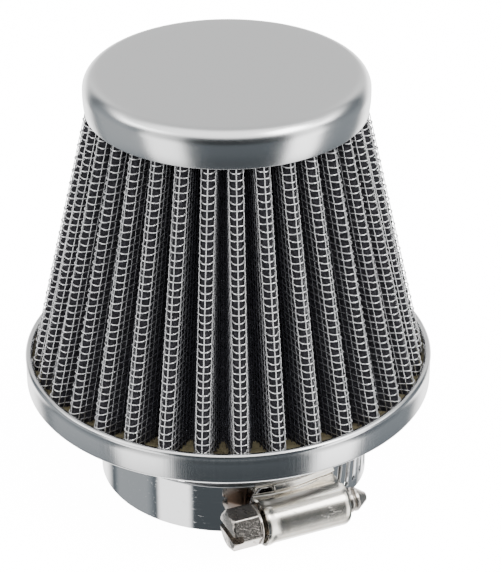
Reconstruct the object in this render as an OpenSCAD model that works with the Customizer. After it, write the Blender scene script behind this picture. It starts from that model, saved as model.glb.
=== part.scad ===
// Clamp-on cone air filter: polished cap and base pan, pleated element, neck and worm-drive clamp.
// Origin: centre of the neck mouth. +Z runs up the filter to the cap. -Y is the front.
// Azimuths are degrees from -Y toward +X.

/* [Cap] */
// outer radius of the cap
cap_r = 23.45; // [22.6:0.05:25]
// height of the cap's flat top above the neck mouth
cap_top = 75.6; // [74:0.1:80]
// height of the cap's skirt
cap_h = 6.4; // [5:0.1:8]
// rounding of the cap's top edge
cap_edge = 2.0; // [1:0.1:3]
// sheet thickness of the cap
cap_wall = 0.45; // [0.3:0.05:0.8]
// depth of the potting inside the cap
cap_potting_h = 2.5; // [1.5:0.1:3]

/* [Base pan] */
// outer radius of the pan wall
pan_r = 34.9; // [34.6:0.1:38]
// height of the pan's underside above the neck mouth
pan_z = 18.7; // [17:0.1:22]
// height of the pan wall, underside to lip
pan_h = 5.45; // [4.5:0.05:7]
// rounding of the pan's lower corner
pan_corner = 1.2; // [1:0.1:2.2]
// sheet thickness of the pan
pan_wall = 0.7; // [0.5:0.05:1]
// radius of the rolled bead along the lip
lip_bead = 0.62; // [0.5:0.02:0.8]
// depth of the potting in the pan
pan_potting_h = 2.6; // [1.5:0.1:3]

/* [Pleated element] */
// number of pleats
pleats = 33; // [28:1:34]
// azimuth of one ridge
pleat_phase = 4.1; // [0:0.1:11]
// outer radius of the ridges at the foot
ridge_foot_r = 33.8; // [33:0.1:34.1]
// outer radius of the ridges at the head
ridge_head_r = 22.2; // [21.5:0.1:22.5]
// radius of the valley fold centres at the foot
valley_foot_r = 27.0; // [26:0.1:28]
// radius of the valley fold centres at the head
valley_head_r = 15.8; // [15.6:0.1:18]
// outer radius of a ridge fold, over the wire
fold_r = 1.3; // [1.2:0.05:1.4]
// thickness of the outer wire mesh
outer_mesh_t = 0.3; // [0.2:0.05:0.35]
// thickness of the black media
media_t = 0.5; // [0.4:0.05:0.55]
// thickness of the inner wire mesh
inner_mesh_t = 0.2; // [0.15:0.05:0.25]

/* [Neck] */
// bore radius of the neck
neck_bore_r = 21.0; // [18:0.1:21.1]
// wall of the neck tube
neck_wall = 0.8; // [0.6:0.05:0.8]
// radius of the flange that holds the neck in the pan
neck_flange_r = 24.8; // [23:0.1:25]
// thickness of that flange
neck_flange_t = 0.8; // [0.6:0.1:1.2]
// number of slits from the mouth
neck_slits = 4; // [3:1:6]
// width of a slit
slit_w = 1.6; // [1:0.1:2.5]
// height of a slit
slit_h = 9.4; // [8:0.1:15]

/* [Clamp strap] */
// width of the strap
band_w = 9.0; // [8.5:0.1:9]
// height of the strap's middle above the neck mouth
band_z = 5.0; // [5:0.1:6.5]
// thickness of the strap
band_t = 0.65; // [0.5:0.05:0.65]
// azimuth where the fixed part of the loop ends at the back
band_back = 165; // [150:1:172]
// azimuth where the travelling part of the loop ends at the back
travel_back = 190; // [180:1:196]
// azimuth of the tail's tip at the head side of the housing
tail_tip = 9.2; // [6:0.2:10]
// number of slots
slots = 22; // [16:1:24]
// width of a slot
slot_w = 1.15; // [1.1:0.05:1.3]
// length of a slot
slot_l = 5.3; // [4.5:0.1:6]
// lean of a slot
slot_lean = 7; // [5:0.5:9]

/* [Clamp housing and screw] */
// azimuth of the housing's middle plane
clamp_at = 23.5; // [0:0.5:359.5]
// radius from the neck axis to the screw axis
screw_rho = 26.2; // [26.15:0.05:26.4]
// outer radius of the tunnel
tunnel_r = 3.7; // [3.7:0.05:4]
// sheet thickness of the tunnel
tunnel_wall = 0.45; // [0.4:0.01:0.45]
// head end of the tunnel, along the screw from the tangent point
tunnel_a = -5.0; // [-5.4:0.1:-4.8]
// tip end of the tunnel
tunnel_b = 9.8; // [9:0.1:10.4]
// start of the saddle, degrees round the neck from the tangent point
saddle_a = -11.8; // [-12.4:0.1:-11.7]
// end of the saddle
saddle_b = 25.5; // [25.5:0.1:27]
// pitch of the worm
worm_pitch = 2.5; // [2.5:0.1:2.6]
// crest radius of the worm
worm_r = 3.15; // [3:0.01:3.17]
// across flats of the hex head
hex_af = 6.35; // [6:0.05:6.5]
// length of the hex head
hex_l = 4.9; // [4:0.1:5.4]
// width of the driver slot
driver_slot_w = 1.2; // [0.8:0.1:1.4]

/* [Hidden] */
$fn = 120;
element_z0 = pan_z + pan_wall + pan_potting_h;
element_z1 = cap_top - cap_wall - cap_potting_h;
neck_r = neck_bore_r + neck_wall;
layer1_r = neck_r + 0.05;
layer1_R = layer1_r + band_t;
layer2_r = layer1_R + 0.03;
layer2_R = layer2_r + band_t;
flange_r = layer2_R + 0.07;
flange_R = flange_r + 0.6;
band_lo = band_z - band_w / 2;
band_hi = band_z + band_w / 2;
side_gap = 0.05;
side_t = 0.45;
slot_step = worm_pitch / (layer2_R - 0.08) * 180 / PI;
slot_first = -2;
worm_a = -3.6;
worm_b = 8.2;
worm_root = 2.5;
leg_half = tunnel_r - 0.4;
hex_end_r = hex_af / 2 - 0.25;
flange_l = 0.5;
hex_turn = -27;
neck_a = tunnel_a - 1.1;

// a ring sector between two radii, from azimuth a0 to a1
module sector(r0, r1, z0, z1, a0, a1) {
  rotate([0, 0, a0 - 90])
    rotate_extrude(angle = a1 - a0)
      translate([r0, z0])
        square([r1 - r0, z1 - z0]);
}

// a cylinder along the screw axis, from x0 to x1
module along_screw(x0, x1, r) {
  translate([x0, -screw_rho, band_z])
    rotate([0, 90, 0])
      cylinder(h = x1 - x0, r = r);
}

// half section of a cup with one rounded outer corner, corner at the top
module cup_section(r, h, e) {
  square([r - e, h]);
  square([r, h - e]);
  translate([r - e, h - e])
    circle(r = e);
}

module cap() {
  color("Silver")
    translate([0, 0, cap_top - cap_h])
      rotate_extrude()
        difference() {
          cup_section(cap_r, cap_h, cap_edge);
          translate([-1, -1])
            square([1, cap_h + 2]);
          translate([0, -1])
            cup_section(cap_r - cap_wall, cap_h - cap_wall + 1, cap_edge - cap_wall);
        }
}

module cap_potting() {
  color("DarkKhaki")
    translate([0, 0, element_z1])
      rotate_extrude()
        intersection() {
          square([cap_r, cap_potting_h]);
          translate([0, -cap_h + cap_potting_h])
            cup_section(cap_r - cap_wall, cap_h, cap_edge - cap_wall);
        }
}

// ridge fold centre radius at height fraction t
function ridge_c(t) = ridge_foot_r + (ridge_head_r - ridge_foot_r) * t - fold_r;
// valley fold centre radius at height fraction t
function valley_c(t) = valley_foot_r + (valley_head_r - valley_foot_r) * t;
half_step = 180 / pleats;
fold_mid = fold_r - (outer_mesh_t + media_t + inner_mesh_t) / 2;
fold_n = 3;
// direction of the flank's outward normal, from the ridge line, at height fraction t
function flank_dir(t) =
  let (dx = valley_c(t) * cos(half_step) - ridge_c(t), dy = valley_c(t) * sin(half_step))
  atan2(dy, dx) - acos(2 * fold_mid / norm([dx, dy]));
// points of half a pleat, offset g outward of the middle surface
function half_pleat(t, g) =
  let (n = flank_dir(t), vx = valley_c(t) * cos(half_step), vy = valley_c(t) * sin(half_step))
  concat(
    [for (i = [0:fold_n]) let (a = n * i / fold_n)
      [ridge_c(t) + (fold_mid + g) * cos(a), (fold_mid + g) * sin(a)]],
    [for (i = [0:fold_n - 1]) let (a = n + (half_step - n) * i / fold_n)
      [vx - (fold_mid - g) * cos(a), vy - (fold_mid - g) * sin(a)]]
  );
function turn(p, a) = [p[0] * cos(a) - p[1] * sin(a), p[0] * sin(a) + p[1] * cos(a)];
function flip(p) = [p[0], -p[1]];
// one whole pleat, valley to valley, ridge on azimuth zero
function whole_pleat(t, g) =
  let (h = half_pleat(t, g), m = len(h))
  concat(
    [turn([valley_c(t) - (fold_mid - g), 0], -half_step)],
    [for (i = [m - 1:-1:1]) flip(h[i])],
    [for (i = [0:m - 1]) h[i]]
  );
// the closed pleat curve at height fraction t
function pleat_ring(t, g) =
  [for (k = [0:pleats - 1]) for (p = whole_pleat(t, g)) turn(p, pleat_phase - 90 + 2 * half_step * k)];
// one layer of the element, between offsets g0 (inside) and g1 (outside)
module pleat_layer(g0, g1) {
  rings = [pleat_ring(0, g1), pleat_ring(1, g1), pleat_ring(1, g0), pleat_ring(0, g0)];
  heights = [element_z0, element_z1, element_z1, element_z0];
  n = len(rings[0]);
  points = [for (r = [0:3]) for (p = rings[r]) [p[0], p[1], heights[r]]];
  // both walls split their quads from the same top corner, so layers that touch share their triangles
  faces = [
    for (r = [0:3]) for (i = [0:n - 1])
      let (j = (i + 1) % n, q = (r + 1) % 4)
      each (r == 2
        ? [[r * n + i, q * n + i, q * n + j], [r * n + i, q * n + j, r * n + j]]
        : [[r * n + i, q * n + i, r * n + j], [q * n + i, q * n + j, r * n + j]])
  ];
  polyhedron(points = points, faces = faces);
}

element_t = outer_mesh_t + media_t + inner_mesh_t;

module outer_mesh() {
  color("Gainsboro")
    pleat_layer(element_t / 2 - outer_mesh_t, element_t / 2);
}

module filter_media() {
  color("DimGray")
    pleat_layer(-element_t / 2 + inner_mesh_t, element_t / 2 - outer_mesh_t);
}

module inner_mesh() {
  color("LightSlateGray")
    pleat_layer(-element_t / 2, -element_t / 2 + inner_mesh_t);
}

module base_pan() {
  color("Silver")
    rotate_extrude()
      translate([0, pan_z]) {
        difference() {
          translate([0, pan_h - lip_bead])
            scale([1, -1])
              cup_section(pan_r, pan_h - lip_bead, pan_corner);
          translate([0, pan_h - lip_bead + 1])
            scale([1, -1])
              cup_section(pan_r - pan_wall, pan_h - lip_bead - pan_wall + 1, pan_corner - pan_wall);
          translate([-1, -1])
            square([neck_r + 1.02, pan_h + 2]);
        }
        translate([pan_r - lip_bead + 0.05, pan_h - lip_bead])
          circle(r = lip_bead);
      }
}

module base_potting() {
  color("DarkKhaki")
    translate([0, 0, pan_z + pan_wall])
      rotate_extrude()
        intersection() {
          translate([neck_flange_r, 0])
            square([pan_r - neck_flange_r, pan_potting_h]);
          translate([0, pan_h])
            scale([1, -1])
              cup_section(pan_r - pan_wall, pan_h, pan_corner - pan_wall);
        }
}

module neck_tube() {
  color("LightGray")
    difference() {
      union() {
        cylinder(h = pan_z + pan_wall + neck_flange_t, r = neck_r);
        translate([0, 0, pan_z + pan_wall])
          cylinder(h = neck_flange_t, r = neck_flange_r);
      }
      translate([0, 0, -1])
        cylinder(h = pan_z + 10, r = neck_bore_r);
      for (k = [0:neck_slits - 1])
        rotate([0, 0, clamp_at + 45 + 360 / neck_slits * k])
          translate([-slit_w / 2, -neck_r - 1, -1])
            cube([slit_w, neck_wall + 2, slit_h + 1]);
    }
}

// the fixed part of the strap loop: inner layer, from the saddle round the left to the back
module clamp_band() {
  color("Silver")
    sector(layer1_r, layer1_R, band_lo, band_hi, band_back - 360, clamp_at + saddle_a - 0.2);
}

// the travelling part of the loop: outer layer, tail through the housing, right side, to the back
module clamp_band_end() {
  color("LightSteelBlue")
    difference() {
      sector(layer2_r, layer2_R, band_lo, band_hi, tail_tip, travel_back);
      for (k = [0:slots - 1])
        rotate([0, 0, clamp_at + (slot_first + k) * slot_step])
          translate([0, -layer2_R, band_z])
            rotate([0, slot_lean, 0])
              cube([slot_w, 3, slot_l], center = true);
    }
}

// under plate and side walls folded round both edges of the strap
module clamp_saddle() {
  color("Silver") {
    sector(layer1_r, layer1_R, band_lo, band_hi, clamp_at + saddle_a, clamp_at + saddle_b);
    for (z = [band_lo - side_gap - side_t, band_hi + side_gap])
      sector(layer1_r, flange_R, z, z + side_t, clamp_at + saddle_a, clamp_at + saddle_b);
    for (z = [band_lo - side_gap, band_hi])
      sector(layer1_r, layer1_R, z, z + side_gap, clamp_at + saddle_a, clamp_at + saddle_b);
  }
}

// flange strips over the strap and the rolled tunnel with its two end walls
module clamp_housing() {
  color("LightGray")
    rotate([0, 0, clamp_at])
      difference() {
        union() {
          sector(flange_r, flange_R, band_lo - side_gap, band_hi + side_gap,
                 saddle_a + 0.5, saddle_b - 0.5);
          along_screw(tunnel_a, tunnel_b, tunnel_r);
          translate([tunnel_a + 0.8, -screw_rho, band_z - leg_half])
            cube([tunnel_b - tunnel_a - 1, screw_rho - 20.8, 2 * leg_half]);
        }
        translate([tunnel_a - 1, -screw_rho + 1, band_z - leg_half + tunnel_wall])
          cube([tunnel_b - tunnel_a + 0.1, 10, 2 * (leg_half - tunnel_wall)]);
        along_screw(tunnel_a + 0.7, tunnel_b - 0.7, tunnel_r - tunnel_wall);
        along_screw(tunnel_a - 1, tunnel_a + 1, 2.45);
        along_screw(tunnel_b - 1, tunnel_b + 1, 1.65);
        cylinder(h = 20, r = flange_r);
      }
}

// radius of the worm at angle a from the middle of its crest
function worm_radius(a) =
  let (x = abs(a > 180 ? a - 360 : a) / 360 * worm_pitch)
  x < 0.3 ? worm_r : (x > 0.75 ? worm_root : worm_r - (worm_r - worm_root) * (x - 0.3) / 0.45);

// hex head with slotted face, flange, neck, worm, end journal and cone tip
module clamp_screw() {
  worm_points = 36;
  worm_l = worm_b - worm_a;
  color("DarkGray")
    rotate([0, 0, clamp_at]) {
      translate([worm_a, -screw_rho, band_z])
        rotate([0, 90, 0])
          linear_extrude(height = worm_l, twist = -360 * worm_l / worm_pitch, slices = 84, $fn = 36)
            polygon([for (i = [0:worm_points - 1])
              let (a = 360 / worm_points * i)
              worm_radius(a) * [cos(a + 90 + 360 * worm_a / worm_pitch),
                                sin(a + 90 + 360 * worm_a / worm_pitch)]]);
      along_screw(neck_a - 0.1, worm_a + 0.3, 2.4);
      along_screw(worm_b - 0.3, tunnel_b + 0.8, 1.6);
      translate([tunnel_b + 0.6, -screw_rho, band_z])
        rotate([0, 90, 0])
          cylinder(h = 0.9, r = 2.1);
      translate([tunnel_b + 1.5, -screw_rho, band_z])
        rotate([0, 90, 0])
          cylinder(h = 2.5, r1 = 2.08, r2 = 0.45);
      along_screw(neck_a - flange_l - 0.1, neck_a, 3.5);
      difference() {
        intersection() {
          translate([neck_a - flange_l - hex_l, -screw_rho, band_z])
            rotate([0, 90, 0])
              rotate([0, 0, hex_turn])
                cylinder(h = hex_l, r = hex_af / 2 / cos(30), $fn = 6);
          translate([neck_a - flange_l - hex_l, -screw_rho, band_z])
            rotate([0, 90, 0])
              cylinder(h = hex_l, r1 = hex_end_r, r2 = hex_end_r + 1.2 * hex_l);
        }
        translate([neck_a - flange_l - hex_l - 1, -screw_rho - 6, band_z - driver_slot_w / 2])
          cube([2.2, 12, driver_slot_w]);
      }
    }
}

cap();
cap_potting();
outer_mesh();
filter_media();
inner_mesh();
base_pan();
base_potting();
neck_tube();
clamp_band();
clamp_band_end();
clamp_saddle();
clamp_housing();
clamp_screw();
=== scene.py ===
# %% [markdown]
# # A cone air filter with a worm-drive clamp
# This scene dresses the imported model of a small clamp-on air filter: a polished cap, a pleated element
# under bright woven wire, khaki potting, a polished base pan, and a mirror strap with its screw housing.
# Every length below is in millimetres and is turned into metres once, where a mesh is made, because the
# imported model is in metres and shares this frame: the origin is the middle of the neck's mouth, +Z runs
# up to the cap and -Y is the front.

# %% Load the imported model
import math

import bmesh
import bpy
import numpy as np
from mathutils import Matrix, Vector, noise


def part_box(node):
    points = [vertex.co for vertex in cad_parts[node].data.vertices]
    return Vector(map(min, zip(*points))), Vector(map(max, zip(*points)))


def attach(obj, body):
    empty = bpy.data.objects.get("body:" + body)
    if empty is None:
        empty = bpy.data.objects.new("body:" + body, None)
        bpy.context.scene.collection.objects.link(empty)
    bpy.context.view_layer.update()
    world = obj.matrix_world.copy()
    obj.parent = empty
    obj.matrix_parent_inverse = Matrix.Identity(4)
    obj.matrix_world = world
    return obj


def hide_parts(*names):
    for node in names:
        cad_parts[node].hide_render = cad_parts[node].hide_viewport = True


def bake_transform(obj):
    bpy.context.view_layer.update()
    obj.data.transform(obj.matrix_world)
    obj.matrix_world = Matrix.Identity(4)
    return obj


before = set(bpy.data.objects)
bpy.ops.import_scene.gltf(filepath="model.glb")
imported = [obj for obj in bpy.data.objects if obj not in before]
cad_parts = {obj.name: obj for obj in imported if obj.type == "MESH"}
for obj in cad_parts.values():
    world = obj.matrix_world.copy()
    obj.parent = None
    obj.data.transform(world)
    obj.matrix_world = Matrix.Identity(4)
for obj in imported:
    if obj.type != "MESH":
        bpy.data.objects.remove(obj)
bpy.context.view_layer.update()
MM = 0.001

# %% [markdown]
# ## The studio
# Polished steel has almost no colour of its own: it shows what stands round it. The room is therefore
# the first thing to get right, and the camera comes with it, because it decides which part of the room
# each surface shows. The filter is looked down on by about 30 degrees through a long lens, so its sides
# stay nearly parallel.

# %% Camera
view_pitch = math.radians(29.62)
view_distance = 378.4
view_target = Vector((3.92, 0.0, 35.52))
camera_data = bpy.data.cameras.new("camera")
camera_data.sensor_width = 36.0
camera_data.lens = 139.8933566
camera = bpy.data.objects.new("camera", camera_data)
toward_camera = Vector((0, -math.cos(view_pitch), math.sin(view_pitch)))
camera.location = MM * (view_target + view_distance * toward_camera)
camera.rotation_euler = (math.pi / 2 - view_pitch, 0, 0)
bpy.context.scene.collection.objects.link(camera)
bpy.context.scene.camera = camera
print("camera at", [round(c, 3) for c in camera.location], "lens", round(camera_data.lens, 1))

# %% [markdown]
# ### Building nodes
# The room and every finish are node trees. They could be wired by hand in the editor, but in a script a
# few helpers keep them readable: one adds a node with its settings, one is a Math node that takes sockets
# or numbers, and one fades smoothly from one value to another.


# %% Node helpers
def new_node(tree, kind, label=None, **settings):
    """Adds a node, labels it, and sets its settings and unlinked inputs by name."""
    made = tree.nodes.new(kind)
    made.label = label or ""
    for name, value in settings.items():
        if hasattr(made, name):
            setattr(made, name, value)
        else:
            made.inputs[name.replace("_", " ")].default_value = value
    return made


def math_node(tree, operation, first, second=None, third=None, clamp=False):
    """A Math node whose inputs may be sockets or numbers. Returns its output socket."""
    made = tree.nodes.new("ShaderNodeMath")
    made.operation = operation
    made.use_clamp = clamp
    for place, value in enumerate((first, second, third)):
        if value is None:
            continue
        if isinstance(value, (int, float)):
            made.inputs[place].default_value = value
        else:
            tree.links.new(value, made.inputs[place])
    return made.outputs[0]


def smooth_step(tree, value, low, high, out_low=0.0, out_high=1.0):
    """Map Range, smoothly, from low..high to out_low..out_high."""
    made = tree.nodes.new("ShaderNodeMapRange")
    made.interpolation_type = "SMOOTHSTEP"
    tree.links.new(value, made.inputs["Value"])
    for name, number in (("From Min", low), ("From Max", high), ("To Min", out_low), ("To Max", out_high)):
        made.inputs[name].default_value = number
    return made.outputs["Result"]


print("node helpers: new_node, math_node, smooth_step")

# %% [markdown]
# ### The room as metal sees it
# In a real studio polished steel stands between softboxes. Area lights could play them, but a world that
# is worked out from the direction is smoother and costs nothing. A direction becomes a bearing, in degrees
# from the front toward +X, and a rise above the horizon. Along the bearing lies a ring of soft panels:
# bright ones at the front left and front right, a dim gap between them where the camera stands, dimmer
# walls at the sides and white behind.

# %% World: bearing and rise
world = bpy.data.worlds.new("studio")
bpy.context.scene.world = world
world.use_nodes = True
sky = world.node_tree
sky.nodes.clear()
direction = new_node(sky, "ShaderNodeTexCoord")
parts = new_node(sky, "ShaderNodeSeparateXYZ")
sky.links.new(direction.outputs["Generated"], parts.inputs[0])
forward = math_node(sky, "MULTIPLY", parts.outputs["Y"], -1.0)
bearing = math_node(sky, "ARCTAN2", parts.outputs["X"], forward)
bearing = math_node(sky, "MULTIPLY", bearing, 180 / math.pi)
rise = math_node(sky, "ARCSINE", parts.outputs["Z"])
rise = math_node(sky, "MULTIPLY", rise, 180 / math.pi)
print("the world knows each direction's bearing and rise")


# %% World: panels
def panel(centre, half_width, softness, level):
    """Light from a panel at a bearing: level inside, fading to nothing over softness degrees."""
    off = math_node(sky, "ABSOLUTE", math_node(sky, "SUBTRACT", bearing, centre))
    inside = smooth_step(sky, off, half_width, half_width + softness, 1.0, 0.0)
    return math_node(sky, "MULTIPLY", inside, level)


def total(values):
    """The sum of several sockets."""
    result = values[0]
    for value in values[1:]:
        result = math_node(sky, "ADD", result, value)
    return result


front_gap = smooth_step(sky, rise, -40.0, -27.0, 0.085, 0.15)
panel_light = total([
    panel(-50.0, 13.0, 6.0, 2.6),
    panel(64.5, 10.5, 6.0, 3.6),
    panel(-98.0, 18.0, 14.0, 0.38),
    panel(100.0, 20.0, 14.0, 0.20),
])
panel_foot = smooth_step(sky, rise, -46.0, -34.0, 0.36, 1.0)
wall_light = total([
    math_node(sky, "MULTIPLY", panel_light, panel_foot),
    smooth_step(sky, math_node(sky, "ABSOLUTE", bearing), 126.0, 150.0, 0.0, 3.4),
    smooth_step(sky, rise, -78.0, -48.0, 2.0, 0.0),
    front_gap,
])
print("panels: front left, front right, sides, back, table")

# %% [markdown]
# The panels fade above the horizon, most at the front and the back, and a ceiling takes over from them. At
# the sides it hangs lower and ends in a narrow bright strip, which draws the thin highlight along the cap's
# rim. One small lamp at the front right gives the clamp's tunnel its brightest line. To the camera the
# world is plain white.

# %% World: ceiling, lamp and backdrop
toward_ends = math_node(sky, "ABSOLUTE", math_node(sky, "COSINE", math_node(sky, "RADIANS", bearing)))
dimming = math_node(sky, "MULTIPLY_ADD", toward_ends, 0.55, 0.2)
dimming = math_node(sky, "MULTIPLY", dimming, smooth_step(sky, rise, -14.0, 14.0))
wall_light = math_node(sky, "MULTIPLY", wall_light, math_node(sky, "SUBTRACT", 1.0, dimming))
over_edge = math_node(sky, "SUBTRACT", rise, math_node(sky, "MULTIPLY", toward_ends, 24.0))
ceiling = smooth_step(sky, over_edge, 12.0, 34.0)
off_strip = math_node(sky, "ABSOLUTE", math_node(sky, "SUBTRACT", over_edge, 26.0))
strip = smooth_step(sky, off_strip, 4.0, 12.0, 4.0, 0.0)
strip = math_node(sky, "MULTIPLY", strip, smooth_step(sky, toward_ends, 0.3, 0.8, 1.0, 0.0))
ceiling_light = math_node(sky, "MULTIPLY", ceiling, math_node(sky, "ADD", strip, 2.4))
ceiling_light = math_node(sky, "MULTIPLY", ceiling_light, smooth_step(sky, forward, -0.35, 0.1, 0.34, 1.0))
off_lamp = math_node(sky, "ABSOLUTE", math_node(sky, "SUBTRACT", rise, 52.0))
lamp = smooth_step(sky, off_lamp, 7.0, 14.0, 1.0, 0.0)
lamp = math_node(sky, "MULTIPLY", lamp, panel(64.0, 12.0, 10.0, 9.0))
ceiling_light = math_node(sky, "ADD", ceiling_light, lamp)
open_wall = math_node(sky, "MULTIPLY", wall_light, math_node(sky, "SUBTRACT", 1.0, ceiling))
studio_light = math_node(sky, "ADD", open_wall, ceiling_light)
tint = new_node(sky, "ShaderNodeMix", "cooler where dim", data_type="RGBA")
tint.inputs["A"].default_value = (0.80, 0.91, 1.0, 1)
tint.inputs["B"].default_value = (1.0, 0.995, 0.985, 1)
sky.links.new(smooth_step(sky, studio_light, 0.06, 0.9), tint.inputs["Factor"])
panels = new_node(sky, "ShaderNodeBackground", "what metal sees")
sky.links.new(tint.outputs["Result"], panels.inputs["Color"])
sky.links.new(studio_light, panels.inputs["Strength"])
backdrop = new_node(sky, "ShaderNodeBackground", "what the camera sees", Strength=12.0)
backdrop.inputs["Color"].default_value = (1, 1, 1, 1)
seen_by = new_node(sky, "ShaderNodeLightPath")
choose = new_node(sky, "ShaderNodeMixShader")
world_out = new_node(sky, "ShaderNodeOutputWorld")
sky.links.new(seen_by.outputs["Is Camera Ray"], choose.inputs["Fac"])
sky.links.new(panels.outputs[0], choose.inputs[1])
sky.links.new(backdrop.outputs[0], choose.inputs[2])
sky.links.new(choose.outputs[0], world_out.inputs["Surface"])
print("world nodes:", len(sky.nodes))

# %% [markdown]
# ### Floor and lights
# The floor is plain and pale, bright enough to meet the backdrop without a line. It isn't seen in
# reflections, where the world does that work, and from below it is clear, so that the underside can be
# looked at. A few weak area lights reach the dark cloth and the glue, which a mirror's room leaves too
# black.

# %% Floor
floor_mesh = bpy.data.meshes.new("floor")
half = 1.6
floor_corners = [(-half, -half, 0), (half, -half, 0), (half, half, 0), (-half, half, 0)]
floor_mesh.from_pydata(floor_corners, [], [(0, 1, 2, 3)])
floor = bpy.data.objects.new("floor", floor_mesh)
pale_floor = bpy.data.materials.new("pale floor")
pale_floor.use_nodes = True
floor_tree = pale_floor.node_tree
matt = floor_tree.nodes["Principled BSDF"]
matt.inputs["Base Color"].default_value = (0.90, 0.90, 0.90, 1)
matt.inputs["Roughness"].default_value = 0.8
matt.inputs["Emission Color"].default_value = (1, 1, 1, 1)
matt.inputs["Emission Strength"].default_value = 14.0
side_seen = floor_tree.nodes.new("ShaderNodeNewGeometry")
clear = floor_tree.nodes.new("ShaderNodeBsdfTransparent")
either = floor_tree.nodes.new("ShaderNodeMixShader")
floor_tree.links.new(side_seen.outputs["Backfacing"], either.inputs["Fac"])
floor_tree.links.new(matt.outputs[0], either.inputs[1])
floor_tree.links.new(clear.outputs[0], either.inputs[2])
floor_tree.links.new(either.outputs[0], floor_tree.nodes["Material Output"].inputs["Surface"])
floor_mesh.materials.append(pale_floor)
floor.visible_glossy = False
floor.visible_diffuse = False
bpy.context.scene.collection.objects.link(floor)
print("floor placed")


# %% Soft lights
def soft_light(name, place, aim, size, power):
    """A square area light that is seen only by its light, not in reflections."""
    data = bpy.data.lights.new(name, "AREA")
    data.size = size
    data.energy = power
    made = bpy.data.objects.new(name, data)
    made.location = Vector(place)
    look = Vector(aim) - Vector(place)
    made.rotation_euler = look.to_track_quat("-Z", "Y").to_euler()
    made.visible_glossy = False
    bpy.context.scene.collection.objects.link(made)
    return made


soft_light("overhead", (0.05, -0.15, 0.75), (0, 0, 0.03), 0.6, 4.0)
soft_light("front left", (-0.55, -0.6, 0.45), (0, 0, 0.03), 0.4, 1.0)
soft_light("front right", (0.6, -0.5, 0.4), (0, 0, 0.03), 0.4, 1.0)
soft_light("by the camera", (0.0, -0.95, 0.58), (0, 0, 0.05), 0.5, 8.0)
print("lights placed:", len(bpy.data.lights))

# %% [markdown]
# ## Finishes
# The metal parts share a few surface effects: fine streaks from drawing and polishing, hairline scuffs,
# tiny specks and uneven grime. Each effect is a node group that puts out a mask, so every material can
# use the same effect at its own scale and strength, and the shaders themselves stay in the materials.


# %% Effect group helpers
def effect_group(name, inputs):
    """An empty node group with float inputs and one float output called Mask."""
    group = bpy.data.node_groups.new(name, "ShaderNodeTree")
    for label, value in inputs:
        socket = group.interface.new_socket(label, in_out="INPUT", socket_type="NodeSocketFloat")
        socket.default_value = value
    group.interface.new_socket("Mask", in_out="OUTPUT", socket_type="NodeSocketFloat")
    return group, group.nodes.new("NodeGroupInput"), group.nodes.new("NodeGroupOutput")


def noise_texture(tree, vector, scale, detail, roughness=0.5):
    """Noise at a vector. Its scale is a number or a socket."""
    made = new_node(tree, "ShaderNodeTexNoise", Detail=detail, Roughness=roughness)
    tree.links.new(vector, made.inputs["Vector"])
    if isinstance(scale, float):
        made.inputs["Scale"].default_value = scale
    else:
        tree.links.new(scale, made.inputs["Scale"])
    return made.outputs["Fac"]


print("helpers for effect groups ready")

# %% Drawn streaks
streaks, inside, outside = effect_group("drawn streaks", (("Around", 60.0), ("Up", 40.0)))
place = streaks.nodes.new("ShaderNodeTexCoord")
flat = new_node(streaks, "ShaderNodeVectorMath", "drop the height", operation="MULTIPLY")
flat.inputs[1].default_value = (1, 1, 0)
streaks.links.new(place.outputs["Object"], flat.inputs[0])
round_it = new_node(streaks, "ShaderNodeVectorMath", "direction round the axis", operation="NORMALIZE")
streaks.links.new(flat.outputs[0], round_it.inputs[0])
spread = new_node(streaks, "ShaderNodeVectorMath", "streaks per turn", operation="SCALE")
streaks.links.new(round_it.outputs[0], spread.inputs[0])
streaks.links.new(inside.outputs["Around"], spread.inputs["Scale"])
height = streaks.nodes.new("ShaderNodeSeparateXYZ")
streaks.links.new(place.outputs["Object"], height.inputs[0])
lift = streaks.nodes.new("ShaderNodeCombineXYZ")
height = math_node(streaks, "MULTIPLY", height.outputs["Z"], inside.outputs["Up"])
streaks.links.new(height, lift.inputs["Z"])
joined = new_node(streaks, "ShaderNodeVectorMath", operation="ADD")
streaks.links.new(spread.outputs[0], joined.inputs[0])
streaks.links.new(lift.outputs[0], joined.inputs[1])
grain = noise_texture(streaks, joined.outputs[0], 1.0, 4.0, roughness=0.55)
streaks.links.new(grain, outside.inputs["Mask"])
print(streaks.name, "nodes:", len(streaks.nodes))

# %% Hairline scuffs
scuffs, inside, outside = effect_group("hairline scuffs", (("Density", 900.0), ("Share", 0.6)))
place = scuffs.nodes.new("ShaderNodeTexCoord")
lines = []
for number, (angles, stretch) in enumerate((((0.3, 0.2, 0.5), 0.04), ((0.9, -0.4, -0.9), 0.03))):
    turned_to = new_node(scuffs, "ShaderNodeMapping", f"lay {number + 1}")
    turned_to.inputs["Rotation"].default_value = angles
    turned_to.inputs["Scale"].default_value = (stretch, 1, 1)
    scuffs.links.new(place.outputs["Object"], turned_to.inputs["Vector"])
    lines.append(noise_texture(scuffs, turned_to.outputs[0], inside.outputs["Density"], 2.0))
strongest = math_node(scuffs, "MAXIMUM", *lines)
above = math_node(scuffs, "SUBTRACT", strongest, inside.outputs["Share"])
scuffs.links.new(math_node(scuffs, "MULTIPLY", above, 9.0, clamp=True), outside.inputs["Mask"])
print(scuffs.name, "nodes:", len(scuffs.nodes))

# %% Specks and grime
specks, inside, outside = effect_group("specks", (("Density", 700.0), ("Size", 0.1)))
place = specks.nodes.new("ShaderNodeTexCoord")
cells = specks.nodes.new("ShaderNodeTexVoronoi")
specks.links.new(place.outputs["Object"], cells.inputs["Vector"])
specks.links.new(inside.outputs["Density"], cells.inputs["Scale"])
near = math_node(specks, "LESS_THAN", cells.outputs["Distance"], inside.outputs["Size"])
specks.links.new(near, outside.inputs["Mask"])

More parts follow.
